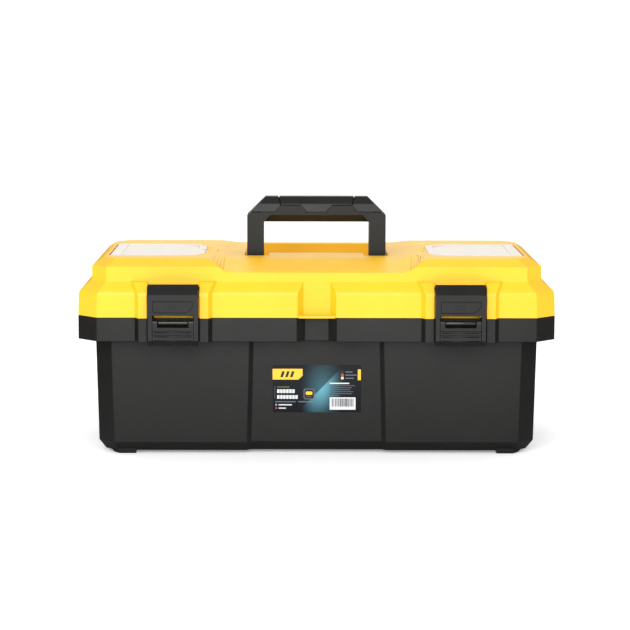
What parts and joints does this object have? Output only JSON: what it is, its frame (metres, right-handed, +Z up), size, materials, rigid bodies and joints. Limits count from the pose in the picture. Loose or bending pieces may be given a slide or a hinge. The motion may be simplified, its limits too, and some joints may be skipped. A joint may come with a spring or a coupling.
{
  "type": "toolbox with tray",
  "caption": "Moulded hand toolbox with a hinged lid, clear-covered organiser bins, folding carry handle, draw latches and a lift-out inner tray.",
  "frame": {"origin": "centre of the outline, on the surface the feet stand on", "axes": "+X along the box, to the right seen from the front; +Y to the rear hinges; +Z up"},
  "size_m": [0.431, 0.232, 0.2303],
  "materials": {
    "tub_plastic": "fine moulded texture",
    "lid_plastic": "satin moulded",
    "tray_plastic": "satin moulded",
    "cover_plastic": "clear, faintly frosted",
    "handle_plastic": "fine moulded texture",
    "latch_plastic": "satin moulded",
    "rod_plastic": "polished",
    "pin_steel": "plain ground",
    "label": "printed film"
  },
  "bodies": {
    "tub": {"base_tub": "tub_plastic", "label_sticker": "label", "hinge_pin_left": "pin_steel", "hinge_pin_right": "pin_steel"},
    "tray": {"tray": "tray_plastic"},
    "lid": {"lid_shell": "lid_plastic", "handle_pin_left": "pin_steel", "handle_pin_right": "pin_steel", "latch_left_pin": "pin_steel", "latch_right_pin": "pin_steel"},
    "cover_left": {"cover_left": "cover_plastic"},
    "cover_right": {"cover_right": "cover_plastic"},
    "handle": {"handle_bow": "handle_plastic", "handle_grip": "handle_plastic"},
    "latch_left": {"latch_left_frame": "latch_plastic", "latch_left_rod": "rod_plastic"},
    "lever_left": {"latch_left_lever": "latch_plastic"},
    "latch_right": {"latch_right_frame": "latch_plastic", "latch_right_rod": "rod_plastic"},
    "lever_right": {"latch_right_lever": "latch_plastic"}
  },
  "joints": [
    {"name": "lid_open", "type": "hinge", "parent": "tub", "child": "lid", "pos_m": [0, 0.1104, 0.128], "axis": [-1, 0, 0], "range_deg": [0, 100]},
    {"name": "tray_lift", "type": "slide", "parent": "tub", "child": "tray", "axis": [0, 0, 1], "range_m": [0, 0.082]},
    {"name": "handle_fold", "type": "hinge", "parent": "lid", "child": "handle", "pos_m": [0, -0.011, 0.164], "axis": [-1, 0, 0], "range_deg": [0, 90]},
    {"name": "cover_left_open", "type": "hinge", "parent": "lid", "child": "cover_left", "pos_m": [-0.1878, 0, 0.1781], "axis": [0, -1, 0], "range_deg": [0, 100]},
    {"name": "cover_right_open", "type": "hinge", "parent": "lid", "child": "cover_right", "pos_m": [0.1878, 0, 0.1781], "axis": [0, 1, 0], "range_deg": [0, 100]},
    {"name": "latch_left_swing", "type": "hinge", "parent": "lid", "child": "latch_left", "pos_m": [-0.1284, -0.103, 0.1548], "axis": [-1, 0, 0], "range_deg": [0, 100]},
    {"name": "latch_left_lever", "type": "hinge", "parent": "latch_left", "child": "lever_left", "pos_m": [-0.1284, -0.1124, 0.1243], "axis": [-1, 0, 0], "range_deg": [0, 60]},
    {"name": "latch_right_swing", "type": "hinge", "parent": "lid", "child": "latch_right", "pos_m": [0.1284, -0.103, 0.1548], "axis": [-1, 0, 0], "range_deg": [0, 100]},
    {"name": "latch_right_lever", "type": "hinge", "parent": "latch_right", "child": "lever_right", "pos_m": [0.1284, -0.1124, 0.1243], "axis": [-1, 0, 0], "range_deg": [0, 60]}
  ],
  "couplings": [
    {"joint": "tray_lift", "follows": "lid_open", "m_per_rad": 0.046}
  ]
}
